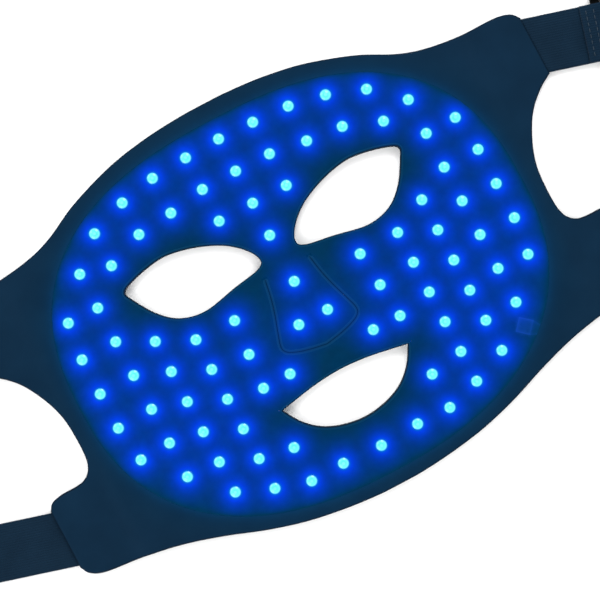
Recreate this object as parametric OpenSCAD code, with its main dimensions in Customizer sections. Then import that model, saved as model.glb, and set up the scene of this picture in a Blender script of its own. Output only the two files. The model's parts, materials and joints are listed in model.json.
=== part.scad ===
// LED face mask in soft silicone, lying on its outer face with the lit inner side up.
// X runs across the face, +Y points to the forehead and Z = 0 is the outer face.
// The living folds of the silicone are modelled as thin gaps between rigid panels.

/* [Cover] */
// Width of the cover from wing end to wing end
cover_w = 292; // [276:1:308]
// Height of the cover from forehead to chin
cover_h = 193.2; // [184:0.2:203]
// Thickness of the cover at its rim
cover_t = 5; // [4.6:0.1:6]
// Thickness of the cover's floor, which is the outer skin
floor_t = 1.6; // [1.2:0.1:1.8]
// Thickness of the wings
wing_t = 4; // [3.8:0.1:4.5]
// Gap left at every living fold
fold_gap = 0.3; // [0.2:0.05:0.5]

/* [Lit panel] */
// Width of the lit panel
panel_w = 224.6; // [214:0.2:226]
// Height of the lit panel
panel_h = 178.4; // [172:0.2:180]
// Squareness of the panel's forehead corners, where 2 is an ellipse
brow_square = 2.5; // [2.2:0.05:2.6]
// Squareness of the panel's jaw corners
jaw_square = 2.35; // [2.1:0.05:2.5]
// Width of the silicone lip round the eye and mouth openings
lip_w = 1.2; // [0.8:0.1:1.6]
// Width of the slit round the nose flap
slit_w = 0.55; // [0.5:0.05:0.8]

/* [Lamps] */
// Thickness of the flexible circuit board
board_t = 0.3; // [0.2:0.05:0.4]
// Width of one square lamp package
chip_w = 2.8; // [2:0.1:3]
// Height of one lamp package
chip_t = 0.8; // [0.6:0.1:0.9]
// Thickness of the reflector film
film_t = 0.2; // [0.1:0.05:0.3]
// Diameter of one lens
lens_d = 5.2; // [4.6:0.1:5.6]
// Height of the lens crown above the liner
lens_rise = 0.9; // [0.5:0.1:1.2]

/* [Folds] */
// Distance from the centre line to the fold beside the eyes
side_fold_x = 75.6; // [74:0.2:77]
// Distance from the centre line to the fold in front of the ears
ear_fold_x = 116.5; // [115:0.1:117]
// Distance from the centre line to the fold in the straps
back_fold_x = 215; // [205:1:225]

/* [Straps] */
// Width of the elastic straps
strap_w = 26; // [24:0.5:26]
// Thickness of the elastic
strap_t = 1.1; // [0.9:0.1:1.1]
// Slope of the straps towards each other
strap_slope = 16; // [15:0.5:16]
// Distance from the centre line to the end of a closure tab
reach = 292; // [288:1:300]
// Height of a closure tab
tab_h = 57; // [50:1:60]

/* [Slider] */
// Distance from the centre line to a slider's middle
slider_x = 181.8; // [178:0.2:186]
// Length of a slider along its strap
slider_len = 16.4; // [14:0.2:18]
// Width of one cross bar
bar_w = 4; // [3:0.1:4]
// Width of a side rail
rail_w = 2.4; // [2:0.1:3]

/* [Cord gland] */
// Radius of the gland's flange
gland_r = 4.5; // [4:0.1:5]
// Radius of the hole for the cord
gland_bore_r = 1.9; // [1.5:0.1:2]
// Side of the square terminal block above the gland
block_w = 6.4; // [6:0.1:7]

/* [Hidden] */
$fn = 48;
// Overlap that joins stacked solids, overrun of a cut, and the length of a strip that spans the part
SMALL = 0.01;
CUT = 1;
SPAN = 400;

sx = cover_w / 292;
sy = cover_h / 193.2;
curve_steps = 6;
panel_y = -0.9 * sy;
fit_gap = 0.1;
board_inset = 4;
opening_inset = 1.5;
board_z = floor_t;
chip_z = board_z + board_t;
film_z = chip_z + chip_t;
liner_z = film_z + film_t;
liner_t = cover_t - liner_z;
film_hole_r = 2.2;
lens_r = lens_d / 2;
lens_steps = 6;
crown_r = (lens_r * lens_r + lens_rise * lens_rise) / (2 * lens_rise);

wing_end_x = cover_w / 2;
strap_gap = 0.1;
skin_t = 0.9;
strap_z = skin_t + strap_gap;
pocket_depth = 12;
strap_end_y_upper = 49.6 * sy;
strap_end_y_lower = -48 * sy;
band_end_x = reach - 24;
tab_x = reach - 38;
tab_y = 0.8;
tab_corner_r = 6;
pad_t = 1;
pad_w = 24;
hook_margin = 3;
loop_margin = 1;

slider_clear = 0.2;
slider_side_clear = 2.2;
slider_bar_t = 0.8;

gland_x = 82.1 * sx;
gland_y = -59.8 * sy;
gland_turn = -41;
gland_fit = 0.05;
block_t = 2.5;
tail_len = 9;
tail_w = 2.4;

resistor = [1.6, 0.8, 0.45];
resistor_drop = 3.4;

// Curves through a few guide points

// Point at t, from 0 to 1, between b and c on the smooth curve a, b, c, d
function curve_point(a, b, c, d, t) =
    b + t * (c - a) / 2
    + t * t * (2 * a - 5 * b + 4 * c - d) / 2
    + t * t * t * (3 * b - a - 3 * c + d) / 2;

function open_curve(p) = concat(
    [for (i = [0:len(p) - 2], k = [0:curve_steps - 1]) curve_point(
        i == 0 ? 2 * p[0] - p[1] : p[i - 1],
        p[i],
        p[i + 1],
        i == len(p) - 2 ? 2 * p[i + 1] - p[i] : p[i + 2],
        k / curve_steps)],
    [p[len(p) - 1]]);

function closed_curve(p) =
    [for (i = [0:len(p) - 1], k = [0:curve_steps - 1]) curve_point(
        p[(i + len(p) - 1) % len(p)],
        p[i],
        p[(i + 1) % len(p)],
        p[(i + 2) % len(p)],
        k / curve_steps)];

function sized(p) = [for (q = p) [q[0] * sx, q[1] * sy]];

// The same points on the other side of the centre line, in reverse order
function other_side(p) =
    [for (i = [len(p) - 1:-1:0]) if (abs(p[i][0]) > SMALL) [-p[i][0], p[i][1]]];

// An anticlockwise outline moved outwards by d
function grow(p, d) =
    [for (i = [0:len(p) - 1])
        let (run = p[(i + 1) % len(p)] - p[(i + len(p) - 1) % len(p)])
        p[i] + d * [run[1], -run[0]] / norm(run)];

function power_arc(c, n) = sign(c) * pow(abs(c), 2 / n);

// Outline of the lit panel, made smaller by inset
function panel_outline(inset) =
    [for (a = [0:3:357])
        let (n = a < 180 ? brow_square : jaw_square)
        [(panel_w / 2 - inset) * power_arc(cos(a), n),
         panel_y + (panel_h / 2 - inset) * power_arc(sin(a), n)]];

// Guide points

brow_edge = sized([
    [0, 96.6], [12, 96.4], [30, 94.9], [50, 91.2], [72, 83.8], [88, 75.9],
    [100, 71.9], [116, 69.5], [135, 69.2], [142.6, 67.4], [146, 63.8]]);
ear_edge = sized([
    [146, 35.4], [139.5, 31.4], [132, 24.4], [126.9, 16.3], [122.8, 6.8],
    [120.7, -3], [120.4, -17], [121.9, -24], [125.6, -27.9], [131, -29.1],
    [138.5, -29.2], [143.6, -30.5], [146, -33.6]]);
jaw_edge = sized([
    [146, -62.3], [143.2, -66.6], [136, -69.5], [117, -71.6], [99, -75],
    [81, -80.4], [63, -86.9], [45, -91.9], [27, -94.9], [11, -96.4], [0, -96.6]]);
cover_half = concat(open_curve(brow_edge), open_curve(ear_edge), open_curve(jaw_edge));

eye_outline = closed_curve(sized([
    [9.1, 22.2], [12.6, 18.9], [25, 16.7], [41.5, 13.6], [53.5, 16.2], [62, 23.3],
    [68.8, 34], [70.1, 37.6], [67.2, 40], [57, 42.9], [46, 44], [33, 41.3],
    [20.7, 35.9], [12.4, 28.8]]));

mouth_outline = concat(
    open_curve(sized([
        [-32.2, -42.4], [-27, -50.7], [-20, -57], [-10.8, -60.9], [0, -62.4],
        [10.8, -60.9], [20, -57], [27, -50.7], [32.2, -42.4]])),
    open_curve(sized([[26, -41.2], [13, -39], [0, -38.1], [-13, -39], [-26, -41.2]])));

flap_half = open_curve(sized([
    [0, -24.9], [6.3, -23.8], [12.6, -22.2], [17.4, -20], [18.9, -17],
    [17.2, -10.8], [14.6, -3], [12.5, 5], [11, 13.4]]));
flap_outline = concat(other_side(flap_half), flap_half);
flap_middle = [0, -5.75 * sy];
board_share = 0.857;
flap_board_outline = [for (p = flap_outline) flap_middle + board_share * (p - flap_middle)];

// Lamp centres

function column(x, y, pitch, count, lean = 0) =
    [for (i = [0:count - 1]) [(x + i * lean) * sx, (y + i * pitch) * sy]];

cheek_lamps = concat(
    column(17.1, 46.4, 16.1, 3),
    column(18.9, -76.1, 0, 1),
    column(21.2, -29.3, 0, 1),
    column(34.6, 59.8, 17.7, 2),
    column(34.8, -29.4, 16.5, 3, -1.4),
    column(35.2, -76.4, 17, 2),
    column(51.8, 58, 16.1, 2),
    column(51.4, -71.6, 15.15, 6),
    column(69.3, 51.4, 16.3, 2),
    column(67.9, -64.7, 15.35, 6));
middle_lamps = concat(column(0, 30.1, 16.35, 4), column(0, -77, 0, 1));
centre_lamps = concat(cheek_lamps, other_side(cheek_lamps), middle_lamps);
side_lamps = concat(
    column(83.7, -48.5, 17.2, 7),
    column(100.9, -14.6, 17.4, 3),
    column(98.6, -32, 69.7, 2));
nose_lamps = concat(column(0, 6.6, 0, 1), column(7.3, -11.6, 0, 1), column(-7.3, -11.6, 0, 1));

// Plans

module strip(x_low, x_high) {
    translate([x_low, -SPAN / 2]) square([x_high - x_low, SPAN]);
}

module centre_strip() {
    strip(-side_fold_x + fold_gap / 2, side_fold_x - fold_gap / 2);
}

module side_strip() {
    strip(side_fold_x + fold_gap / 2, ear_fold_x - fold_gap / 2);
}

module cover_plan() {
    polygon(concat(cover_half, other_side(cover_half)));
}

module openings_plan(margin) {
    polygon(grow(eye_outline, margin));
    mirror([1, 0]) polygon(grow(eye_outline, margin));
    polygon(grow(mouth_outline, margin));
}

module nose_hole_plan(margin) {
    polygon(grow(flap_outline, slit_w + margin));
}

module lamp_holes(lamps, r) {
    for (p = lamps) translate(p) circle(r);
}

// The panel's plan with every opening, each edge drawn back by its own margin
module centre_panel_plan(inset, margin) {
    difference() {
        intersection() {
            polygon(panel_outline(inset));
            centre_strip();
        }
        openings_plan(margin);
        nose_hole_plan(margin);
    }
}

module side_panel_plan(inset) {
    intersection() {
        polygon(panel_outline(inset));
        side_strip();
    }
}

module flap_plan(inset) {
    polygon(grow(flap_outline, -inset));
}

// Repeated pieces

module chips(lamps) {
    for (p = lamps) {
        translate([p[0] - chip_w / 2, p[1] - chip_w / 2, chip_z]) cube([chip_w, chip_w, chip_t]);
    }
}

module resistors(lamps) {
    for (p = lamps) {
        translate([p[0] - resistor[0] / 2, p[1] - resistor_drop - resistor[1] / 2, chip_z])
            cube(resistor);
    }
}

module lenses(lamps) {
    crown = [for (k = [0:lens_steps])
        let (a = k / lens_steps * asin(lens_r / crown_r))
        [crown_r * sin(a), liner_t + lens_rise - crown_r * (1 - cos(a))]];
    for (p = lamps) {
        translate([p[0], p[1], liner_z])
            rotate_extrude() polygon(concat([[0, 0]], crown, [[lens_r, 0]]));
    }
}

module liner_plan_holes(lamps) {
    lamp_holes(lamps, lens_r + fit_gap / 2);
}

// Centre of the mask

module cover_centre() {
    color("midnightblue") {
        linear_extrude(floor_t) difference() {
            intersection() {
                cover_plan();
                centre_strip();
            }
            openings_plan(0);
            nose_hole_plan(0);
        }
        translate([0, 0, floor_t - SMALL]) linear_extrude(cover_t - floor_t + SMALL) {
            difference() {
                intersection() {
                    cover_plan();
                    centre_strip();
                }
                centre_panel_plan(0, lip_w);
                openings_plan(0);
                nose_hole_plan(0);
            }
        }
    }
}

module liner_centre() {
    color("royalblue") translate([0, 0, liner_z]) linear_extrude(liner_t) difference() {
        centre_panel_plan(fit_gap, lip_w + fit_gap);
        liner_plan_holes(centre_lamps);
    }
}

module board_centre() {
    color("darkgreen") translate([0, 0, board_z]) linear_extrude(board_t) {
        centre_panel_plan(board_inset, lip_w + opening_inset);
    }
}

module chips_centre() {
    color("cyan") chips(centre_lamps);
}

module resistors_centre() {
    color("black") resistors(centre_lamps);
}

module film_centre() {
    color("white") translate([0, 0, film_z]) linear_extrude(film_t) difference() {
        centre_panel_plan(board_inset, lip_w + opening_inset);
        lamp_holes(centre_lamps, film_hole_r);
    }
}

module lenses_centre() {
    color("lightcyan") lenses(centre_lamps);
}

// Nose flap

module cover_nose() {
    color("midnightblue") {
        linear_extrude(floor_t) flap_plan(0);
        translate([0, 0, floor_t - SMALL]) linear_extrude(cover_t - floor_t + SMALL) {
            difference() {
                flap_plan(0);
                flap_plan(lip_w);
            }
        }
    }
}

module liner_nose() {
    color("royalblue") translate([0, 0, liner_z]) linear_extrude(liner_t) difference() {
        flap_plan(lip_w + fit_gap);
        liner_plan_holes(nose_lamps);
    }
}

module board_nose() {
    color("darkgreen") translate([0, 0, board_z]) linear_extrude(board_t)
        polygon(flap_board_outline);
}

module chips_nose() {
    color("cyan") chips(nose_lamps);
}

module film_nose() {
    color("white") translate([0, 0, film_z]) linear_extrude(film_t) difference() {
        polygon(flap_board_outline);
        lamp_holes(nose_lamps, film_hole_r);
    }
}

module lenses_nose() {
    color("lightcyan") lenses(nose_lamps);
}

// Sides, drawn on the right; the left ones are mirrored and have no gland

module at_gland() {
    translate([gland_x, gland_y]) rotate(gland_turn) children();
}

module terminal_plan(margin) {
    at_gland() {
        square(block_w + 2 * margin, center = true);
        translate([0, -tail_w / 2 - margin]) square([tail_len + margin, tail_w + 2 * margin]);
    }
}

module side_plan() {
    intersection() {
        cover_plan();
        side_strip();
    }
}

module side_cover(gland) {
    difference() {
        union() {
            linear_extrude(floor_t) side_plan();
            translate([0, 0, floor_t - SMALL]) linear_extrude(cover_t - floor_t + SMALL) {
                difference() {
                    side_plan();
                    side_panel_plan(0);
                }
            }
        }
        if (gland) {
            translate([gland_x, gland_y, -CUT])
                cylinder(r = gland_r + gland_fit, h = floor_t + 2 * CUT);
            translate([0, 0, chip_z]) linear_extrude(block_t + fit_gap) terminal_plan(fit_gap);
        }
    }
}

module side_liner(gland) {
    difference() {
        translate([0, 0, liner_z]) linear_extrude(liner_t) difference() {
            side_panel_plan(fit_gap);
            liner_plan_holes(side_lamps);
        }
        if (gland) {
            translate([0, 0, chip_z]) linear_extrude(block_t + fit_gap) terminal_plan(fit_gap);
        }
    }
}

module side_film(gland) {
    translate([0, 0, film_z]) linear_extrude(film_t) difference() {
        side_panel_plan(board_inset);
        lamp_holes(side_lamps, film_hole_r);
        if (gland) terminal_plan(fit_gap);
    }
}

module side_board(gland) {
    translate([0, 0, board_z]) linear_extrude(board_t) difference() {
        side_panel_plan(board_inset);
        if (gland) translate([gland_x, gland_y]) circle(gland_r + gland_fit);
    }
}

module cover_right() {
    color("midnightblue") side_cover(true);
}

module cover_left() {
    color("midnightblue") mirror([1, 0, 0]) side_cover(false);
}

module liner_right() {
    color("royalblue") side_liner(true);
}

module liner_left() {
    color("royalblue") mirror([1, 0, 0]) side_liner(false);
}

module board_right() {
    color("darkgreen") side_board(true);
}

module board_left() {
    color("darkgreen") mirror([1, 0, 0]) side_board(false);
}

module chips_right() {
    color("cyan") chips(side_lamps);
}

module chips_left() {
    color("cyan") mirror([1, 0, 0]) chips(side_lamps);
}

module resistors_right() {
    color("black") resistors(side_lamps);
}

module resistors_left() {
    color("black") mirror([1, 0, 0]) resistors(side_lamps);
}

module film_right() {
    color("white") side_film(true);
}

module film_left() {
    color("white") mirror([1, 0, 0]) side_film(false);
}

module lenses_right() {
    color("lightcyan") lenses(side_lamps);
}

module lenses_left() {
    color("lightcyan") mirror([1, 0, 0]) lenses(side_lamps);
}

// Cord gland, set flush in the outer skin, with the terminal block above it

module cord_gland() {
    color("dimgray") translate([gland_x, gland_y, 0]) difference() {
        cylinder(r = gland_r, h = chip_z);
        translate([0, 0, -CUT]) cylinder(r = gland_bore_r, h = chip_z + 2 * CUT);
    }
}

module terminal_block() {
    color("gainsboro") translate([0, 0, chip_z]) linear_extrude(block_t) terminal_plan(0);
}

// Wings

// A strap's plan between two distances from the centre line; side is 1 for upper, -1 for lower
module strap_plan(x_low, x_high, side, margin = 0) {
    end_y = side > 0 ? strap_end_y_upper : strap_end_y_lower;
    intersection() {
        translate([wing_end_x, end_y]) rotate(-side * strap_slope)
            translate([-SPAN / 4, -strap_w / 2 - margin]) square([SPAN, strap_w + 2 * margin]);
        strip(x_low, x_high);
    }
}

module wing(layers) {
    difference() {
        linear_extrude(wing_t) intersection() {
            cover_plan();
            strip(ear_fold_x + fold_gap / 2, wing_end_x + CUT);
        }
        for (side = [1, -1]) {
            translate([0, 0, skin_t]) linear_extrude(layers * strap_t + 2 * strap_gap)
                strap_plan(wing_end_x - pocket_depth - strap_gap, wing_end_x + CUT, side, strap_gap);
        }
    }
}

module strap_ends(layers) {
    for (side = [1, -1]) {
        translate([0, 0, strap_z]) linear_extrude(layers * strap_t)
            strap_plan(wing_end_x - pocket_depth, wing_end_x, side);
    }
}

module left_wing() {
    color("midnightblue") mirror([1, 0, 0]) wing(1);
}

module right_wing() {
    color("midnightblue") wing(2);
}

module left_strap_ends() {
    color("darkslategray") mirror([1, 0, 0]) strap_ends(1);
}

module right_strap_ends() {
    color("darkslategray") strap_ends(2);
}

// Straps, drawn on the right

module front_strap(side) {
    translate([0, 0, strap_z]) linear_extrude(strap_t)
        strap_plan(wing_end_x + fold_gap, back_fold_x - fold_gap / 2, side);
}

// The layer that comes back from the wing and ends at the slider's middle bar
module return_strap(side) {
    translate([0, 0, strap_z + strap_t]) linear_extrude(strap_t)
        strap_plan(wing_end_x + fold_gap, slider_x, side);
}

module back_strap(side) {
    translate([0, 0, strap_z]) linear_extrude(strap_t)
        strap_plan(back_fold_x + fold_gap / 2, band_end_x, side);
}

module left_upper_strap() {
    color("darkslategray") mirror([1, 0, 0]) front_strap(1);
}

module left_lower_strap() {
    color("darkslategray") mirror([1, 0, 0]) front_strap(-1);
}

module right_upper_strap() {
    color("darkslategray") front_strap(1);
}

module right_lower_strap() {
    color("darkslategray") front_strap(-1);
}

module right_upper_return() {
    color("slategray") return_strap(1);
}

module right_lower_return() {
    color("slategray") return_strap(-1);
}

module left_upper_back_strap() {
    color("darkslategray") mirror([1, 0, 0]) back_strap(1);
}

module left_lower_back_strap() {
    color("darkslategray") mirror([1, 0, 0]) back_strap(-1);
}

module right_upper_back_strap() {
    color("darkslategray") back_strap(1);
}

module right_lower_back_strap() {
    color("darkslategray") back_strap(-1);
}

// Slider: two side rails, two bars under the strap and one bar over it

module slider(side) {
    end_y = side > 0 ? strap_end_y_upper : strap_end_y_lower;
    along = (slider_x - wing_end_x) / cos(strap_slope);
    inner_w = strap_w + 2 * slider_side_clear;
    top_z = strap_z + 2 * strap_t + slider_clear;
    translate([wing_end_x, end_y]) rotate(-side * strap_slope) translate([along, 0, 0]) {
        for (edge = [inner_w / 2, -inner_w / 2 - rail_w]) {
            translate([-slider_len / 2, edge, 0]) cube([slider_len, rail_w, top_z + slider_bar_t]);
        }
        for (x = [-slider_len / 2, slider_len / 2 - bar_w]) {
            translate([x, -inner_w / 2 - SMALL, 0]) cube([bar_w, inner_w + 2 * SMALL, slider_bar_t]);
        }
        translate([-bar_w / 2, -inner_w / 2 - SMALL, top_z])
            cube([bar_w, inner_w + 2 * SMALL, slider_bar_t]);
    }
}

module upper_slider() {
    color("black") slider(1);
}

module lower_slider() {
    color("black") slider(-1);
}

// Closure tabs at the back of the head

module tab_plan(x_low, x_high, h) {
    r = tab_corner_r;
    translate([x_low, tab_y - h / 2 + r]) square([x_high - x_low, h - 2 * r]);
    translate([x_low + r, tab_y - h / 2]) square([x_high - x_low - 2 * r, h]);
    for (x = [x_low + r, x_high - r], y = [tab_y - h / 2 + r, tab_y + h / 2 - r]) {
        translate([x, y]) circle(r);
    }
}

module closure_tab() {
    translate([0, 0, strap_z + strap_t]) linear_extrude(strap_t) tab_plan(tab_x, reach, tab_h);
}

module left_closure_tab() {
    color("darkslategray") mirror([1, 0, 0]) closure_tab();
}

module right_closure_tab() {
    color("darkslategray") closure_tab();
}

module hook_pad() {
    color("black") mirror([1, 0, 0]) translate([0, 0, strap_z + 2 * strap_t]) linear_extrude(pad_t)
        tab_plan(reach - hook_margin - pad_w, reach - hook_margin, tab_h - 2 * hook_margin);
}

module loop_pad() {
    color("black") translate([0, 0, strap_z + strap_t - pad_t]) linear_extrude(pad_t)
        tab_plan(band_end_x + fold_gap, reach - loop_margin, tab_h - 2 * hook_margin);
}

cover_centre();
liner_centre();
board_centre();
chips_centre();
resistors_centre();
film_centre();
lenses_centre();
cover_nose();
liner_nose();
board_nose();
chips_nose();
film_nose();
lenses_nose();
cover_left();
liner_left();
board_left();
chips_left();
resistors_left();
film_left();
lenses_left();
cover_right();
liner_right();
board_right();
chips_right();
resistors_right();
film_right();
lenses_right();
cord_gland();
terminal_block();
left_wing();
right_wing();
left_strap_ends();
right_strap_ends();
left_upper_strap();
left_lower_strap();
right_upper_strap();
right_lower_strap();
right_upper_return();
right_lower_return();
upper_slider();
lower_slider();
left_upper_back_strap();
left_lower_back_strap();
right_upper_back_strap();
right_lower_back_strap();
left_closure_tab();
right_closure_tab();
hook_pad();
loop_pad();
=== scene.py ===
# Looks of the LED face mask: silicone cover, lit liner, lamps, elastic straps, sliders and closure.
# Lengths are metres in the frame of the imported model: X across the face, +Y to the forehead, +Z up.
import json
import math

import bpy
import numpy as np
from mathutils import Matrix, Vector, kdtree
from mathutils.geometry import delaunay_2d_cdt


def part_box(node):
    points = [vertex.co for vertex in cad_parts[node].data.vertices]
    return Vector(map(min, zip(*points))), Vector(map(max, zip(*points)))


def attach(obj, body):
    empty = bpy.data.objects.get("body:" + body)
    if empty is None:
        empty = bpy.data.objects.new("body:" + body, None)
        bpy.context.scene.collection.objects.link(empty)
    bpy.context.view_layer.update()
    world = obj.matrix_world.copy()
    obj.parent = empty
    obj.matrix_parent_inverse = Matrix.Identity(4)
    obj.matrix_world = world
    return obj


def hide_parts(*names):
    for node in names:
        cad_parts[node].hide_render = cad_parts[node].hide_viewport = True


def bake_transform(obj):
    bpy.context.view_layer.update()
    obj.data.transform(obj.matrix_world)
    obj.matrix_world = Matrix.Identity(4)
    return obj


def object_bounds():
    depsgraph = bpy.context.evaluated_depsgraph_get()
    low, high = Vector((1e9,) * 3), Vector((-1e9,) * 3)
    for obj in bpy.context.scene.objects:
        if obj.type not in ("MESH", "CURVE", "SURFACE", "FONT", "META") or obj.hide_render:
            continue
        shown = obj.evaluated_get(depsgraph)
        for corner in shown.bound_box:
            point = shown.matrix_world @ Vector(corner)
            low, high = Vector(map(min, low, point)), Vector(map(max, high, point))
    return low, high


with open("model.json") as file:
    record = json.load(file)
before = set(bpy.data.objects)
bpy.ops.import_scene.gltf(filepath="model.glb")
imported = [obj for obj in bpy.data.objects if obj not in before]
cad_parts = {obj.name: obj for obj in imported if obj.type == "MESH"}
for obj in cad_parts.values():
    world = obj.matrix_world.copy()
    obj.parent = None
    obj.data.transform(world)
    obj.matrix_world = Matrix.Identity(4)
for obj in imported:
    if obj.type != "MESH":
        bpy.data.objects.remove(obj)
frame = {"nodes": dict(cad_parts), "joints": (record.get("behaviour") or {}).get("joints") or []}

cad_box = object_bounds()
MM = 0.001
NODES = frame["nodes"]
JOINTS = {joint["name"]: joint for joint in frame["joints"]}
SIDES = {"left": -1, "right": 1}

# Heights and folds, read from the frame
FLOOR_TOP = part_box("board_centre")[0].z
LINER_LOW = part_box("liner_centre")[0].z
RIM_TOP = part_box("cover_centre")[1].z
WING_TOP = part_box("right_wing")[1].z
WING_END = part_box("right_wing")[1].x
SIDE_FOLD = abs(JOINTS["right_side_fold"]["pos_m"][0])
EAR_FOLD = abs(JOINTS["right_ear_fold"]["pos_m"][0])
BACK_FOLD = abs(JOINTS["right_back_fold"]["pos_m"][0])
FLAP_FOLD = JOINTS["nose_flap_flex"]["pos_m"][1]

# Zones in which the silicone bends, as distances from the centre line
SIDE_BEND = (SIDE_FOLD - 4.7 * MM, SIDE_FOLD + 1.9 * MM)
EAR_BEND = (EAR_FOLD - 4 * MM, EAR_FOLD + 4 * MM)
FLAP_TOP = FLAP_FOLD - 0.3 * MM
FLAP_BEND = (FLAP_TOP, FLAP_TOP - 3.2 * MM)
OUTER_SPLIT = 96 * MM

# Shapes of edges
LIP = 1.2 * MM
OUTER_ROUND = 1.3 * MM
OPENING_ROUND = 0.75 * MM
SLIT_ROUND = 0.25 * MM
RECESS_ROUND = 0.2 * MM
SLIT_RECESS_ROUND = 0.05 * MM
SLIT_SEEN = 0.12 * MM
UNDER_ROUND = 0.5 * MM
WALL_STEP = 0.06 * MM
LINER_GAP = 0.08 * MM
LENS_RADIUS = 2.6 * MM
LENS_GAP = 0.05 * MM
LENS_LINE = 2.9 * MM  # radius of the darker line round a lens
LENS_RIM = 0.16 * MM  # how far the liner rises round a lens
BLOCK_RELIEF = 0.05 * MM  # how far it rises inside each outline of the terminal block
WING_TAPER = (EAR_FOLD - 3 * MM, EAR_FOLD + 6 * MM)  # where the cover thins towards the wings

# Straps and stitches
STRAP_WIDTH = 26 * MM
STRAP_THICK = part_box("right_upper_strap")[1].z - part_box("right_upper_strap")[0].z
LAYER_GAP = 0.04 * MM  # free space between two bands that lie on each other
STRAP_RIBS = 12
RIB_DEPTH = 0.09 * MM
STRAP_STEP = 1.5 * MM
STRAP_BEND = (WING_END, WING_END + 4.5 * MM)
BACK_BEND = (BACK_FOLD - 4 * MM, BACK_FOLD + 4 * MM)
STRAP_SPLIT = WING_END + 54 * MM
RETURN_SPLIT = WING_END + 6.5 * MM
POCKET_DEPTH = 11.5 * MM
SLIDER_BAR = 0.8 * MM
LOOP_REACH = 1.9 * MM
LOOP_DOWN = (2.2 * MM, 6.5 * MM)  # where the returned end comes down, measured back from the bar
LOOP_ROWS = (8.5 * MM, 12 * MM)  # where it is sewn down
SEWN_BOX = (3.2 * MM, 12.5 * MM)  # where a strap is sewn to its tab, measured from the tab's inner end
SEWN_BOX_INSET = 3 * MM
SEAM_INSET = 1.6 * MM
SEAM_DEPTH = 0.16 * MM
STITCH_PITCH = 2.6 * MM
STITCH_SHARE = 0.76  # how much of its pitch a stitch takes up
THREAD = 0.22 * MM
HOOK_PITCH = 1.5 * MM
HOOK_BACKING = 0.45 * MM
PILE_DEPTH = 0.12 * MM

# How the halos of neighbouring lamps add up: 1 sums them, a high power keeps only the strongest
HALO_POWER = 4.2

# Mesh fineness, how far apart two places may be and still be the same,
# and the turn from which an outline's point stays a sharp corner
EDGE_STEP = 1.3 * MM
FINE_EDGE_STEP = 0.6 * MM
COVER_STEP = 2.2 * MM
LINER_STEP = 1.25 * MM
BEND_STEP = 0.85 * MM
FLAP_HALF_WIDTH = 13 * MM  # half the width over which the nose flap's bend has a fine mesh
SAME_PLACE = 0.01 * MM
SHARP_CORNER = math.radians(38)


# ------------ camera, light and floor

def add_object(name, data):
    obj = bpy.data.objects.new(name, data)
    bpy.context.scene.collection.objects.link(obj)
    return obj


def make_camera():
    """A camera straight above the face, turned so that the forehead points to the upper left."""
    width_seen = 270 * MM
    half_angle = math.radians(14)
    turn = math.radians(-28)
    aim = Vector((-1.66 * MM, -2.04 * MM, RIM_TOP))
    data = bpy.data.cameras.new("camera")
    data.sensor_width = 36
    data.lens = data.sensor_width / 2 / math.tan(half_angle)
    data.clip_start = 0.01
    data.clip_end = 20
    camera = add_object("camera", data)
    camera.location = aim + Vector((0, 0, width_seen / 2 / math.tan(half_angle)))
    camera.rotation_euler = (0, 0, turn)
    bpy.context.scene.camera = camera


def area_light(name, place, size, power):
    """A square lamp that faces the origin."""
    data = bpy.data.lights.new(name, "AREA")
    data.size = size
    data.energy = power
    light = add_object(name, data)
    light.location = place
    light.rotation_euler = (-Vector(place)).to_track_quat("-Z", "Y").to_euler()


def make_lights():
    """Soft lights from the sides, and a dome that is bright round the horizon and dim overhead."""
    area_light("key", (0.9, 1.0, 1.1), 0.8, 15)
    area_light("fill", (-1.2, -0.7, 1.0), 1.1, 12)
    area_light("rim", (-0.9, 1.2, 0.9), 0.9, 8)
    world = bpy.data.worlds.new("studio")
    world.use_nodes = True
    tree = world.node_tree
    direction = tree.nodes.new("ShaderNodeTexCoord").outputs["Generated"]
    parts = tree.nodes.new("ShaderNodeSeparateXYZ")
    dome = tree.nodes.new("ShaderNodeValToRGB")
    tree.links.new(direction, parts.inputs[0])
    tree.links.new(parts.outputs["Z"], dome.inputs["Fac"])
    tree.links.new(dome.outputs["Color"], tree.nodes["Background"].inputs["Color"])
    horizon, zenith = dome.color_ramp.elements
    horizon.position, zenith.position = 0.78, 0.95
    horizon.color, zenith.color = (1, 1, 1, 1), (0.15, 0.15, 0.15, 1)
    tree.nodes["Background"].inputs["Strength"].default_value = 1.6
    bpy.context.scene.world = world
    bpy.context.scene.view_settings.view_transform = "Standard"


def make_floor():
    """A wide pale floor just under the mask."""
    half = 5.0
    corners = [(-half, -half, 0), (half, -half, 0), (half, half, 0), (-half, half, 0)]
    mesh = bpy.data.meshes.new("floor")
    mesh.from_pydata(corners, [], [(0, 1, 2, 3)])
    s = Shader("floor", coords="object", Roughness=0.9, Specular_IOR_Level=0.0)
    mesh.materials.append(s.surface(
        Base_Color=s.between(s.noise(0.4, 2), (0.9, 0.9, 0.9), (0.92, 0.92, 0.92))))
    floor = add_object("floor", mesh)
    floor.location.z = cad_box[0].z - 0.1 * MM


# ------------ materials

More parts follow.
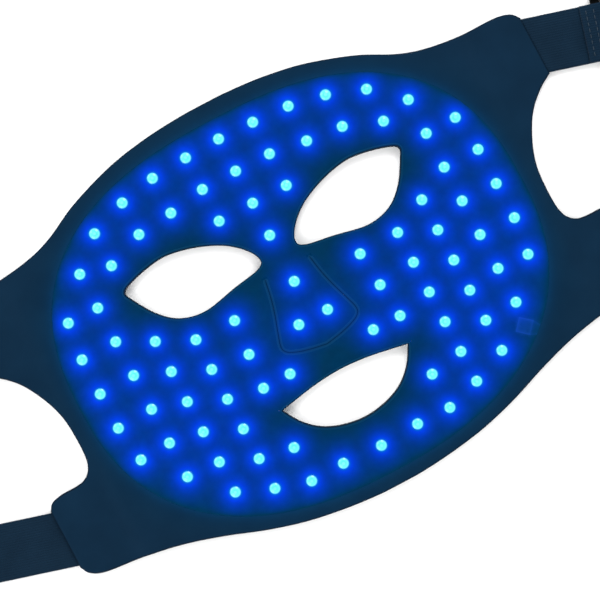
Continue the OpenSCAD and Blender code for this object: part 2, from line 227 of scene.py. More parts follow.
class Shader:
    """A node material with one Principled shader. What is the same all over goes straight on its sockets."""

    def __init__(self, name, coords="rest", **fixed):
        self.material = bpy.data.materials.new(name)
        self.material.use_nodes = True
        self.tree = self.material.node_tree
        self.main = self.tree.nodes["Principled BSDF"]
        for socket, value in fixed.items():
            self.main.inputs[socket.replace("_", " ")].default_value = value
        if coords == "rest":
            self.coords = self.attribute("rest", "Vector")
        else:
            self.coords = self.tree.nodes.new("ShaderNodeTexCoord").outputs["Object"]

    def put(self, socket, value):
        """Links an output to a socket, or sets the socket to a number or colour."""
        if isinstance(value, bpy.types.NodeSocket):
            self.tree.links.new(value, socket)
        else:
            socket.default_value = value

    def attribute(self, name, output="Color"):
        node = self.tree.nodes.new("ShaderNodeAttribute")
        node.attribute_name = name
        return node.outputs[output]

    def noise(self, size, detail=2.0):
        """Soft noise from 0 to 1 with features of about that size."""
        node = self.tree.nodes.new("ShaderNodeTexNoise")
        node.inputs["Scale"].default_value = 1 / size
        node.inputs["Detail"].default_value = detail
        self.put(node.inputs["Vector"], self.coords)
        return node.outputs["Fac"]

    def specks(self, size, share):
        """Small round specks, 1 inside and 0 outside."""
        node = self.tree.nodes.new("ShaderNodeTexVoronoi")
        node.inputs["Scale"].default_value = 1 / size
        self.put(node.inputs["Vector"], self.coords)
        return self.ramp(node.outputs["Distance"], [(0.0, 1), (share, 0)])

    def math(self, operation, a, b=0.0):
        node = self.tree.nodes.new("ShaderNodeMath")
        node.operation = operation
        self.put(node.inputs[0], a)
        self.put(node.inputs[1], b)
        return node.outputs[0]

    def parts(self, vector):
        node = self.tree.nodes.new("ShaderNodeSeparateXYZ")
        self.put(node.inputs[0], vector)
        return node.outputs

    def ramp(self, factor, stops):
        """A ramp through (place, grey or colour) stops."""
        node = self.tree.nodes.new("ShaderNodeValToRGB")
        elements = node.color_ramp.elements
        while len(elements) < len(stops):
            elements.new(0.5)
        for element, (place, value) in zip(elements, stops):
            element.position = place
            element.color = (value,) * 3 + (1,) if np.isscalar(value) else (*value, 1)
        self.put(node.inputs["Fac"], factor)
        return node.outputs["Color"]

    def between(self, noise, low, high):
        """Two tones over the range that soft noise really covers."""
        return self.ramp(noise, [(0.3, low), (0.7, high)])

    def mix(self, factor, a, b, kind="MIX"):
        """A blend of two colours, or b laid over a as another kind of mix."""
        node = self.tree.nodes.new("ShaderNodeMix")
        node.data_type = "RGBA"
        node.blend_type = kind
        self.put(node.inputs["Factor"], factor)
        self.put(node.inputs[6], a if isinstance(a, bpy.types.NodeSocket) else (*a, 1))
        self.put(node.inputs[7], b if isinstance(b, bpy.types.NodeSocket) else (*b, 1))
        return node.outputs[2]

    def bump(self, height, depth, below=None):
        """Bumps of that depth, laid over other bumps."""
        node = self.tree.nodes.new("ShaderNodeBump")
        node.inputs["Distance"].default_value = depth
        self.put(node.inputs["Height"], height)
        if below is not None:
            self.put(node.inputs["Normal"], below)
        return node.outputs["Normal"]

    def surface(self, **links):
        for socket, value in links.items():
            self.put(self.main.inputs[socket.replace("_", " ")], value)
        return self.material


def silicone_material():
    """Matte dark silicone; its colour with painted shade and painted light, and the lamps' painted spill as
    glow, come from attributes of the mesh.
    """
    s = Shader("cover_silicone", Specular_IOR_Level=0.02, Emission_Strength=1.0)
    mottle = s.between(s.noise(14 * MM, 3), 0.9, 1.1)
    dust = s.math("MULTIPLY", s.specks(9 * MM, 0.022), s.noise(30 * MM))
    colour = s.mix(1.0, s.attribute("tint"), mottle, "MULTIPLY")
    colour = s.mix(s.math("MULTIPLY", dust, 0.3), colour, (0.25, 0.3, 0.33))
    grain = s.bump(s.noise(0.5 * MM, 4), 0.02 * MM)
    return s.surface(
        Base_Color=colour,
        Emission_Color=s.attribute("glow"),
        Roughness=s.between(s.noise(5 * MM, 3), 0.55, 0.66),
        Normal=s.bump(s.noise(7 * MM, 2), 0.06 * MM, grain))


def liner_material():
    """Translucent silicone whose light from inside is painted as a glow: clouded glow, a faint skin and fine
    grain.
    """
    s = Shader("lit_silicone", Specular_IOR_Level=0.02, Emission_Strength=1.0)
    cloud = s.between(s.noise(3.5 * MM, 4), 0.93, 1.07)
    grain = s.bump(s.noise(0.6 * MM, 3), 0.015 * MM)
    return s.surface(
        Base_Color=s.mix(s.noise(8 * MM, 2), (0.0, 0.0015, 0.006), (0.0, 0.0025, 0.01)),
        Emission_Color=s.mix(1.0, s.attribute("glow"), cloud, "MULTIPLY"),
        Roughness=s.between(s.noise(4 * MM, 3), 0.34, 0.46),
        Normal=s.bump(s.noise(5 * MM, 2), 0.05 * MM, grain))


def lens_material():
    """Clear dome over a lit package: a bright spot that is partly the die and partly a painted highlight, a
    cyan body, a brighter ring that is a painted highlight on the dome's rim, and a blue edge.
    The distance from a lens's axis follows from the height on its spherical crown."""
    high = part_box("lenses_nose")[1]
    rise = high.z - RIM_TOP
    crown = (LENS_RADIUS * LENS_RADIUS + rise * rise) / (2 * rise)
    s = Shader("lens", coords="object", Specular_IOR_Level=0.5, Roughness=0.16,
               Emission_Strength=1.0)
    height = s.parts(s.coords)[2]
    down = s.math("SUBTRACT", height, high.z - crown)
    across = s.math("SUBTRACT", crown * crown, s.math("MULTIPLY", down, down))
    share = s.math("DIVIDE", s.math("SQRT", s.math("MAXIMUM", across, 0.0)), LENS_RADIUS)
    colour = s.ramp(share, [
        (0.0, (0.26, 0.97, 0.95)), (0.24, (0.2, 0.97, 0.93)), (0.36, (0.1, 0.9, 0.86)),
        (0.66, (0.11, 0.91, 0.88)), (0.8, (0.15, 0.95, 0.93)), (0.9, (0.05, 0.55, 0.93)),
        (1.0, (0.0, 0.13, 0.78))])
    swirl = s.between(s.noise(1.2 * MM, 2), 0.94, 1.04)
    return s.surface(
        Base_Color=s.mix(s.noise(2 * MM), (0.0, 0.02, 0.03), (0.01, 0.04, 0.05)),
        Emission_Color=s.mix(1.0, colour, swirl, "MULTIPLY"),
        Normal=s.bump(s.noise(1.5 * MM, 2), 0.01 * MM))


def elastic_material():
    """Woven elastic: ribs along it, picks across it and a little fuzz; "band" holds (along, across, up)."""
    s = Shader("strap_elastic", Roughness=0.85, Specular_IOR_Level=0.04,
               Sheen_Weight=0.03, Sheen_Roughness=0.5)
    along, across, _ = s.parts(s.attribute("band", "Vector"))
    rib = s.math("SINE", s.math("MULTIPLY", across, 2 * math.pi / (1.1 * MM)))
    pick = s.math("SINE", s.math("MULTIPLY", along, 2 * math.pi / (0.75 * MM)))
    weave = s.math("MULTIPLY", rib, pick)
    height = s.math("ADD", s.math("MULTIPLY", rib, 0.6), s.math("MULTIPLY", weave, 0.4))
    # Painted shade: the colour is darker in the weave's dips and lighter on its crests.
    shade = s.ramp(s.math("ADD", s.math("MULTIPLY", height, 0.5), 0.5), [(0.0, 0.8), (1.0, 1.12)])
    worn = s.between(s.noise(12 * MM, 3), (0.0022, 0.0106, 0.023), (0.003, 0.0132, 0.028))
    fuzz = s.bump(s.noise(0.35 * MM, 3), 0.03 * MM)
    return s.surface(
        Base_Color=s.mix(1.0, worn, shade, "MULTIPLY"),
        Normal=s.bump(height, 0.09 * MM, fuzz))


def tab_material():
    """Brushed closure fabric over foam."""
    s = Shader("tab_fabric", Roughness=0.9, Specular_IOR_Level=0.05,
               Sheen_Weight=0.05, Sheen_Roughness=0.4)
    nap = s.noise(0.45 * MM, 4)
    colour = s.between(s.noise(10 * MM, 3), (0.002, 0.0095, 0.02), (0.003, 0.0125, 0.025))
    return s.surface(
        Base_Color=s.mix(1.0, colour, s.ramp(nap, [(0.35, 0.75), (0.65, 1.2)]), "MULTIPLY"),
        Normal=s.bump(nap, 0.12 * MM))


def tape_material(name, dark, light, size):
    """Hook or loop tape."""
    s = Shader(name, Roughness=0.7, Specular_IOR_Level=0.12)
    fibre = s.noise(size, 4)
    return s.surface(
        Base_Color=s.ramp(fibre, [(0.35, dark), (0.7, light)]),
        Normal=s.bump(fibre, size / 3))


def thread_material():
    s = Shader("thread", Roughness=0.6, Specular_IOR_Level=0.3)
    twist = s.noise(0.3 * MM, 2)
    return s.surface(
        Base_Color=s.between(twist, (0.004, 0.014, 0.026), (0.01, 0.026, 0.044)),
        Normal=s.bump(twist, 0.05 * MM))


def plastic_material(name, dark, light, rough):
    """Moulded plastic with a fine texture and rubbed patches."""
    s = Shader(name, coords="object", Specular_IOR_Level=0.12)
    rubbed = s.noise(6 * MM, 4)
    return s.surface(
        Base_Color=s.ramp(rubbed, [(0.3, dark), (0.75, light)]),
        Roughness=s.between(rubbed, rough, rough * 0.75),
        Normal=s.bump(s.noise(0.25 * MM, 3), 0.02 * MM))


def board_material():
    """Flexible circuit: solder mask with copper tracks seen through it."""
    s = Shader("circuit_board", coords="object", Roughness=0.4)
    node = s.tree.nodes.new("ShaderNodeTexBrick")
    node.inputs["Scale"].default_value = 1 / (4 * MM)
    node.inputs["Color1"].default_value = (0.02, 0.12, 0.05, 1)
    node.inputs["Color2"].default_value = (0.03, 0.14, 0.06, 1)
    node.inputs["Mortar"].default_value = (0.12, 0.3, 0.1, 1)
    s.put(node.inputs["Vector"], s.coords)
    return s.surface(Base_Color=node.outputs["Color"], Normal=s.bump(node.outputs["Fac"], 0.03 * MM))


def film_material():
    """White reflector film with a painted blue glow for the lamps' light that it carries."""
    s = Shader("reflector_film", coords="object", Roughness=0.5, Emission_Strength=0.4)
    mottle = s.noise(2 * MM, 3)
    return s.surface(
        Base_Color=s.between(mottle, (0.7, 0.72, 0.75), (0.8, 0.82, 0.85)),
        Emission_Color=s.between(mottle, (0.0, 0.05, 0.6), (0.0, 0.07, 0.75)),
        Normal=s.bump(mottle, 0.02 * MM))


def chip_material():
    """Lamp package: a white case that glows."""
    s = Shader("lamp_package", coords="object", Roughness=0.4, Emission_Strength=1.0)
    speck = s.noise(0.8 * MM, 2)
    return s.surface(
        Base_Color=s.between(speck, (0.6, 0.62, 0.6), (0.75, 0.76, 0.74)),
        Emission_Color=s.between(speck, (0.05, 0.6, 0.9), (0.1, 0.8, 1.0)))


def resistor_material():
    s = Shader("resistor", coords="object", Roughness=0.45)
    end = s.ramp(s.noise(0.7 * MM, 1), [(0.45, (0.02, 0.02, 0.022)), (0.6, (0.25, 0.25, 0.26))])
    return s.surface(Base_Color=end, Normal=s.bump(s.noise(0.3 * MM), 0.02 * MM))


# ------------ outlines from the frame

def turned(vectors):
    """Every plane vector turned a quarter to the left."""
    return np.stack([-vectors[:, 1], vectors[:, 0]], axis=1)


def unit(vectors):
    return vectors / np.maximum(np.linalg.norm(vectors, axis=1, keepdims=True), 1e-12)


def area_of(loop):
    ahead = np.roll(loop, -1, axis=0)
    return 0.5 * float(np.sum(loop[:, 0] * ahead[:, 1] - ahead[:, 0] * loop[:, 1]))


def flat_loops(name, height):
    """Outlines of a CAD node's flat faces at that height, anticlockwise, the largest first."""
    mesh = NODES[name].data
    following = {}
    for face in mesh.polygons:
        if abs(face.normal.z) < 0.99 or abs(face.center.z - height) > SAME_PLACE:
            continue
        spots = [tuple(np.round(mesh.vertices[i].co[:2], 7)) for i in face.vertices]
        for a, b in zip(spots, spots[1:] + spots[:1]):
            if following.get(b) and a in following[b]:
                following[b].remove(a)
            else:
                following.setdefault(a, []).append(b)
    loops = []
    while any(following.values()):
        start = spot = next(a for a, ends in following.items() if ends)
        loop = []
        while following.get(spot):
            loop.append(spot)
            spot = following[spot].pop()
            if spot == start:
                break
        loop = np.array(loop)
        loops.append(loop if area_of(loop) > 0 else loop[::-1])
    return sorted(loops, key=area_of, reverse=True)


def open_chains(loop, dropped):
    """The loop without its dropped points, as the chains that are left."""
    first = int(np.argmax(dropped))
    loop, dropped = np.roll(loop, -first, axis=0), np.roll(dropped, -first)
    chains, chain = [], []
    for point, drop in zip(loop, dropped):
        if not drop:
            chain.append(point)
        elif chain:
            chains.append(np.array(chain))
            chain = []
    if chain:
        chains.append(np.array(chain))
    return chains


def joined_outline(names, height, folds, reach):
    """One smooth outline of CAD nodes that meet at folds; points within reach of a fold are left out."""
    chains = []
    for name in names:
        loop = flat_loops(name, height)[0]
        x = np.abs(loop[:, 0])
        chains += open_chains(loop, np.any([np.abs(x - fold) < reach for fold in folds], axis=0))
    outline = chains.pop(0)
    while chains:
        gaps = [np.linalg.norm(chain[0] - outline[-1]) for chain in chains]
        outline = np.concatenate([outline, chains.pop(int(np.argmin(gaps)))])
    return refine(outline)


def refine(loop, step=EDGE_STEP):
    """More points on smooth curves through a closed loop's points; sharp corners stay sharp."""
    before, after = loop - np.roll(loop, 1, axis=0), np.roll(loop, -1, axis=0) - loop
    behind, ahead = unit(before), unit(after)
    sharp = np.sum(behind * ahead, axis=1) < math.cos(SHARP_CORNER)
    ratio = np.linalg.norm(before, axis=1) / np.linalg.norm(after, axis=1)
    mean = unit(behind + ahead)
    mean[ratio > 3] = behind[ratio > 3]
    mean[ratio < 1 / 3] = ahead[ratio < 1 / 3]
    points = []
    for i, start in enumerate(loop):
        j = (i + 1) % len(loop)
        end = loop[j]
        length = np.linalg.norm(end - start)
        leave = (ahead[i] if sharp[i] else mean[i]) * length
        arrive = (behind[j] if sharp[j] else mean[j]) * length
        count = max(1, round(length / step))
        for k in range(count):
            t = k / count
            points.append((2 * t**3 - 3 * t**2 + 1) * start + (t**3 - 2 * t**2 + t) * leave
                          + (3 * t**2 - 2 * t**3) * end + (t**3 - t**2) * arrive)
    return np.array(points)


def moved_in(loop, distance):
    """An anticlockwise loop moved inwards; a negative distance moves it outwards."""
    behind = turned(unit(loop - np.roll(loop, 1, axis=0)))
    ahead = turned(unit(np.roll(loop, -1, axis=0) - loop))
    middle = unit(behind + ahead)
    stretch = 1 / np.clip(np.sum(middle * ahead, axis=1, keepdims=True), 0.7, 1)
    return loop + middle * distance * stretch


def ring(centre, radius, count):
    angles = np.arange(count) * 2 * math.pi / count
    return np.array(centre) + radius * np.stack([np.cos(angles), np.sin(angles)], axis=1)


# ------------ plans and shells

def distance_to(points, loop):
    """Every point's shortest distance to a closed loop of straight runs."""
    best = np.full(len(points), 1e9)
    for a, b in zip(loop, np.roll(loop, -1, axis=0)):
        run = b - a
        t = np.clip(((points - a) @ run) / max(run @ run, 1e-18), 0, 1)
        gap = points - a - t[:, None] * run
        np.minimum(best, gap[:, 0] ** 2 + gap[:, 1] ** 2, out=best)
    return np.sqrt(best)


def inside(points, loop):
    """True for the points inside a closed loop."""
    x, y = points[:, 0], points[:, 1]
    found = np.zeros(len(points), bool)
    for (ax, ay), (bx, by) in zip(loop, np.roll(loop, -1, axis=0)):
        if ay == by:
            continue
        crosses = (y < ay) != (y < by)
        found ^= crosses & (x < (bx - ax) * (y - ay) / (by - ay) + ax)
    return found


def signed_distance(points, loop):
    """Distance to a closed loop, negative inside it."""
    return distance_to(points, loop) * np.where(inside(points, loop), -1, 1)


def nearest(points, loops):
    """Distance to the nearest of several closed loops."""
    return np.min([distance_to(points, loop) for loop in loops], axis=0)


def scattered(step, fine_step, near):
    """Staggered columns of points over the lines' box, finer where the silicone bends, clear of the lines."""
    tree = kdtree.KDTree(len(near))
    for i, point in enumerate(near):
        tree.insert((*point, 0), i)
    tree.balance()
    (x, low_y), (high_x, high_y) = near.min(axis=0), near.max(axis=0)
    points, odd = [], False
    while x < high_x:
        bends = any(low - MM < abs(x) < high + MM for low, high in (SIDE_BEND, EAR_BEND))
        space = fine_step if bends else step
        y = low_y + (space / 2 if odd else 0)
        while y < high_y:
            local = space
            if abs(x) < FLAP_HALF_WIDTH and FLAP_BEND[1] - MM < y < FLAP_BEND[0] + MM:
                local = fine_step
            if tree.find((x, y, 0))[2] > 0.55 * local:
                points.append((x, y))
            y += local
        x += space * 0.9
        odd = not odd
    return np.array(points)


class Plan:
    """A region of the plane in triangles: inside the outer loop, outside the holes, with every line kept."""

    def __init__(self, outer, holes, lines, step, fine_step=BEND_STEP):
        loops = [(outer, True)] + [(hole, True) for hole in holes] + lines
        near = np.concatenate([loop for loop, _ in loops])
        points, edges = [], []
        for loop, closed in loops:
            first, count = len(points), len(loop)
            points += [Vector(p) for p in loop]
            edges += [(first + i, first + (i + 1) % count) for i in range(count if closed else count - 1)]
        points += [Vector(p) for p in scattered(step, fine_step, near)]
        found = delaunay_2d_cdt(points, edges, [], 0, 1e-7)
        places = np.array([tuple(p) for p in found[0]])
        triangles = np.array(found[2])
        middles = places[triangles].mean(axis=1)
        keep = inside(middles, outer)
        for hole in holes:
            keep &= ~inside(middles, hole)
        triangles = triangles[keep]
        used = np.unique(triangles)
        renumber = np.full(len(places), -1)
        renumber[used] = np.arange(len(used))
        self.points = places[used]
        self.triangles = renumber[triangles]
        self.middles = middles[keep]


def border_edges(triangles):
    """The directed edges that only one triangle has."""
    edges = np.concatenate([triangles[:, [0, 1]], triangles[:, [1, 2]], triangles[:, [2, 0]]])
    have = set(map(tuple, edges.tolist()))
    return [(a, b) for a, b in have if (b, a) not in have]


class Shell:
    """A closed solid between two height fields over a plan, cut into pieces that share their borders."""

    def __init__(self, plan, bottom, top):
        self.plan = plan
        self.count = len(plan.points)
        self.corners = np.concatenate([
            np.column_stack([plan.points, top]), np.column_stack([plan.points, bottom])])
        self.outer_edges = set(border_edges(plan.triangles))
        faces = self.faces_of(plan.triangles, self.outer_edges)
        self.normals = np.zeros_like(self.corners)
        for face in faces:
            p = self.corners[list(face)]
            self.normals[list(face)] += np.cross(p[2] - p[0], p[-1] - p[1])
        self.normals = unit(self.normals)

    def faces_of(self, triangles, edges):
        n = self.count
        faces = [tuple(t) for t in triangles.tolist()]
        faces += [(c + n, b + n, a + n) for a, b, c in triangles.tolist()]
        faces += [(a + n, b + n, b, a) for a, b in sorted(edges)]
        return faces

    def piece(self, name, chosen, material, fields=None):
        """A mesh of the chosen triangles; the cuts between pieces get flat end faces.
        Every field holds a colour for each corner, those of the top first."""
        triangles = self.plan.triangles[chosen]
        edges = border_edges(triangles)
        walls = [e for e in edges if e in self.outer_edges]
        cuts = [e for e in edges if e not in self.outer_edges]
        faces = self.faces_of(triangles, walls)
        smooth_faces = len(faces)
        faces += [(a + self.count, b + self.count, b, a) for a, b in sorted(cuts)]
        used = np.unique(np.concatenate([np.array(f) for f in faces]))
        renumber = {int(old): new for new, old in enumerate(used)}
        corners = self.corners[used]
        faces = [tuple(renumber[i] for i in face) for face in faces]
        mesh = smooth_mesh(name, corners.tolist(), faces)
        loop_normals = []
        smooth_normals = self.normals[used]
        for i, face in enumerate(faces):
            if i < smooth_faces:
                loop_normals += [tuple(smooth_normals[k]) for k in face]
            else:
                loop_normals += [tuple(mesh.polygons[i].normal)] * len(face)
        mesh.normals_split_custom_set(loop_normals)
        for field, values in (fields or {}).items():
            set_colours(mesh, field, values[used])
        return finished(mesh, corners, material)


def smooth_mesh(name, corners, faces, sharp_from=None):
    """A smooth-shaded mesh, with edges sharper than that angle in degrees left sharp."""
    mesh = bpy.data.meshes.new(name)
    mesh.from_pydata(corners, [], faces)
    mesh.polygons.foreach_set("use_smooth", [True] * len(faces))
    if sharp_from:
        mesh.set_sharp_from_angle(angle=math.radians(sharp_from))
    return mesh


def finished(mesh, corners, material):
    """The mesh as an object of the same name, with its rest places and its material."""
    set_vectors(mesh, "rest", corners)
    mesh.materials.append(material)
    obj = add_object(mesh.name, mesh)
    return obj


def add_tube(corners, faces, rings):
    """A closed tube through rings of points, which turn to the left as seen from its end."""
    first, sides = len(corners), len(rings[0])
    for points in rings:
        corners.extend(points)
    for start in range(first, len(corners) - sides, sides):
        for k in range(sides):
            a, b = start + k, start + (k + 1) % sides
            faces.append((a, b, b + sides, a + sides))
    faces.append(tuple(range(first, first + sides))[::-1])
    faces.append(tuple(range(len(corners) - sides, len(corners))))


def carry(obj, body, *replaced):
    """The piece moves with that body, and stands for the named nodes."""
    if replaced:
        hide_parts(*replaced)
    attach(obj, body)


def set_vectors(mesh, name, values):
    attribute = mesh.attributes.new(name, "FLOAT_VECTOR", "POINT")
    attribute.data.foreach_set("vector", np.asarray(values, np.float32).ravel())


def set_colours(mesh, name, values):
    attribute = mesh.attributes.new(name, "FLOAT_COLOR", "POINT")
    rgba = np.concatenate([values, np.ones((len(values), 1))], axis=1)
    attribute.data.foreach_set("color", rgba.astype(np.float32).ravel())


def smooth_step(t):
    t = np.clip(t, 0, 1)
    return t * t * (3 - 2 * t)


def rounding(distance, radius):
    """How far a round edge of that radius has dropped at a distance in from the edge."""
    d = radius - np.clip(distance, 0, radius)
    return radius - np.sqrt(np.maximum(radius * radius - d * d, 0))


def rings_in(loop, radius, count=4):
    """Loops inside an edge, spaced for a round of that radius."""
    return [(moved_in(loop, radius * (1 - math.cos(k / count * math.pi / 2))), True)
            for k in range(1, count + 1)]


def rings_out(loop, distances):
    return [(moved_in(loop, -d), True) for d in distances]


# ------------ light field of the lamps

def linear(srgb):
    srgb = np.asarray(srgb, float)
    return np.where(srgb <= 0.04045, srgb / 12.92, ((srgb + 0.055) / 1.055) ** 2.4)


def lamp_centres():
    """Plan positions of all lamps: the tops of the lens crowns."""
    spots = set()
    for name in ("lenses_centre", "lenses_nose", "lenses_left", "lenses_right"):
        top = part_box(name)[1].z
        spots |= {tuple(np.round(v.co[:2], 5)) for v in NODES[name].data.vertices
                  if v.co.z > top - 0.001 * MM}
    return np.array(sorted(spots))


def lamp_distance(points, lamps):
    """Distance to the nearest lamp."""
    return np.min([np.linalg.norm(points - lamp, axis=1) for lamp in lamps], axis=0)


def panel_light(points, lamps, opening_gap, border_gap):
    """Painted light of the lit silicone, given as emission: a blue halo round every lamp, with painted shade
    by the openings, at the border and in a darker line round each lens.
    """
    halo, near = np.zeros(len(points)), np.zeros(len(points))
    for lamp in lamps:
        d = np.linalg.norm(points - lamp, axis=1) / MM
        halo += (0.114 * np.exp(-(d / 30) ** 2) + 1.19 * np.exp(-d / 5.9)) ** HALO_POWER
        near += 0.068 * np.exp(-d / 1.87) + 9.5 * np.exp(-(d / 1.29) ** 2)
    shade = np.exp(-opening_gap / (17 * MM))
    line_gap = lamp_distance(points, lamps) - LENS_LINE
    blue = 0.21 - 0.087 * shade - 0.168 * np.exp(-border_gap / (1.1 * MM)) + halo ** (1 / HALO_POWER)
    blue = np.clip(blue, 0.32, 0.92)
    blue = linear(blue - 0.06 * np.exp(-(line_gap / (0.45 * MM)) ** 2))
    green = np.clip(0.033 - 0.004 * shade + 0.01 * blue + near, 0, 0.6)
    red = np.zeros(len(points))
    return np.stack([red, green, blue], axis=1)


def spill_light(panel_gap):
    """Painted light: blue glow given to the cover where the lit panel beside it would spill light onto it."""
    d = np.maximum(panel_gap, 0) / MM
    blue = 0.05 * np.exp(-d / 2.2) + 0.02 * np.exp(-d / 16)
    green = 0.012 * np.exp(-d / 2) + 0.006 * np.exp(-d / 14)
    return np.stack([np.zeros_like(d), green, blue], axis=1)


# ------------ cover and liner

def holes_in_cover():
    """The nose flap's hole as the CAD has it, and smooth outlines of the eye and mouth openings."""
    loops = flat_loops("cover_centre", 0)[1:]
    hole = min(loops, key=lambda loop: np.linalg.norm(loop.mean(axis=0)))
    return hole, [refine(loop) for loop in loops if loop is not hole]


def slit_and_flap(hole):
    """Outline of the slit round the nose flap, and the flap's own edge below its hanging line."""
    flap = flat_loops("cover_nose", 0)[0]
    gap = float(distance_to(flap[np.argmin(flap[:, 1])][None], hole)[0])
    closed_by = (gap - SLIT_SEEN) / 2
    sides = []
    for loop in (moved_in(refine(hole, 0.8 * MM), closed_by), moved_in(refine(flap, 0.8 * MM), -closed_by)):
        chain = open_chains(loop, loop[:, 1] > FLAP_TOP - 0.25 * MM)[0]
        first, last = [chain[0][0], FLAP_TOP], [chain[-1][0], FLAP_TOP]
        sides.append(np.concatenate([[first], chain, [last]]))
    slit = np.concatenate([sides[0], sides[1][::-1]])
    return slit if area_of(slit) > 0 else slit[::-1], sides[1]


def cut_lines(flap_edge, xs):
    """Lines at which the silicone is cut into pieces: down the plan at each x, and across the flap's top."""
    y = np.arange(-cad_box[1].y - MM, cad_box[1].y + MM, EDGE_STEP)
    lines = [(np.stack([np.full_like(y, x), y], axis=1), False) for x in xs]
    (x_a, y_a), (x_b, _) = flap_edge[0], flap_edge[-1]
    x = np.linspace(x_a, x_b, 22)
    lines.append((np.stack([x, np.full_like(x, y_a)], axis=1), False))
    return lines


def bend_sideways(obj, side, zone, a, b, *replaced):
    """The piece stands for the named nodes, and its place is baked into its mesh; side, zone, a and b are not
    used.
    """
    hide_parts(*replaced)
    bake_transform(obj)


def bend_flap(obj, replaced):
    """The piece stands for the named node, and its place is baked into its mesh."""
    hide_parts(replaced)
    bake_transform(obj)


class Layout:
    """The outlines and places in the plan that the cover and the liner share."""

    def __init__(self):
        covers = ("cover_centre", "cover_left", "cover_right", "left_wing", "right_wing")
        liners = ("liner_centre", "liner_right", "liner_left")
        self.outer = joined_outline(covers, 0, (SIDE_FOLD, EAR_FOLD), 0.2 * MM)
        self.panel = joined_outline(liners, RIM_TOP, (SIDE_FOLD,), 0.3 * MM)
        hole, self.openings = holes_in_cover()
        self.slit, self.flap_edge = slit_and_flap(hole)
        low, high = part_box("cord_gland")
        self.gland = ring((low.xy + high.xy) / 2, (high.x - low.x) / 2 + 0.05 * MM, 40)
        self.marks = block_marks()
        self.lamps = lamp_centres()


def block_marks():
    """Where the terminal block and its tail press into the liner: the whole, and the block alone."""
    loop = flat_loops("terminal_block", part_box("terminal_block")[1].z)[0]
    before, after = loop - np.roll(loop, 1, axis=0), np.roll(loop, -1, axis=0) - loop
    hollow = before[:, 0] * after[:, 1] - before[:, 1] * after[:, 0] < 0
    tail_end = np.argsort(np.linalg.norm(loop, axis=1))[-2:]
    return [refine(loop[~hollow], FINE_EDGE_STEP), refine(np.delete(loop, tail_end, axis=0), FINE_EDGE_STEP)]


def cover_plan(layout):
    """The cover's plan, with lines along its round edges, its rim and its lips."""
    wall = (LIP - RECESS_ROUND / 2, LIP, LIP + WALL_STEP)
    lines = rings_in(layout.outer, OUTER_ROUND)
    for loop in layout.openings:
        lines += rings_out(loop, (0.08 * MM, 0.25 * MM, 0.5 * MM, OPENING_ROUND, *wall))
    lines += rings_out(layout.slit, (0.08 * MM, SLIT_ROUND, *wall))
    lines += rings_out(layout.panel, (RECESS_ROUND, RECESS_ROUND / 2, 0, -WALL_STEP))
    lines += cut_lines(layout.flap_edge, (-OUTER_SPLIT, 0, OUTER_SPLIT))
    return Plan(layout.outer, layout.openings + [layout.slit, layout.gland], lines, COVER_STEP)


def cover_top(x, outer_gap, opening_gap, slit_gap, panel_gap):
    """Height of the cover's inner side: rim and lips, the recess for the liner, and the thinner wings."""
    taper = smooth_step((np.abs(x) - WING_TAPER[0]) / (WING_TAPER[1] - WING_TAPER[0]))
    lip_depth = np.maximum(LIP - opening_gap, LIP - slit_gap)
    in_panel = panel_gap < -0.005 * MM
    rim_depth = np.where(in_panel, lip_depth, np.maximum(panel_gap, 0))
    rim_round = np.where(slit_gap < 2 * LIP, SLIT_RECESS_ROUND, RECESS_ROUND)
    top = RIM_TOP + (WING_TOP - RIM_TOP) * taper - rounding(outer_gap, OUTER_ROUND) \
        - rounding(opening_gap, OPENING_ROUND) - rounding(slit_gap, SLIT_ROUND) \
        - rounding(rim_depth, rim_round)
    return np.where(in_panel & (lip_depth < -0.005 * MM), FLOOR_TOP, top)


def cover_fields(points, lamps, outer_gap, opening_gap, slit_gap, panel_gap):
    """The cover's colour with painted light and shade, and its painted glow, for the corners of its top and
    then of its underside.
    """
    rim_gap = np.minimum(outer_gap, opening_gap)
    # Painted shade: the cover is darker along its outer edge, round the openings and along the slit, and so
    # is its glow.
    painted_edge_shade = 1 - 0.75 * np.exp(-(rim_gap / (0.5 * MM)) ** 2) - 0.4 * np.exp(-(slit_gap / (0.3 * MM)) ** 2)
    painted_edge_shade = np.clip(painted_edge_shade, 0.25, 1)[:, None]
    # Painted light: near the panel the base colour turns to a darker, less red tone that goes with the
    # painted spill of the panel's light.
    near_panel = np.exp(-np.maximum(panel_gap, 0) / (9 * MM))[:, None]
    far_tint, painted_spill_tint = np.array([[0.0027, 0.0131, 0.0288], [0.001, 0.0101, 0.0208]])
    tint = far_tint * (1 - near_panel) + painted_spill_tint * near_panel
    # Painted light: inside the panel's outline the cover glows like the lit liner, and outside it takes the
    # painted spill.
    lit = panel_light(points, lamps, opening_gap, np.maximum(-panel_gap, 0))
    glow = np.where((panel_gap < 0)[:, None], lit, spill_light(panel_gap)) * painted_edge_shade
    return {"tint": np.concatenate([tint * painted_edge_shade, tint * 0.8]),
            "glow": np.concatenate([glow, np.zeros_like(glow)])}


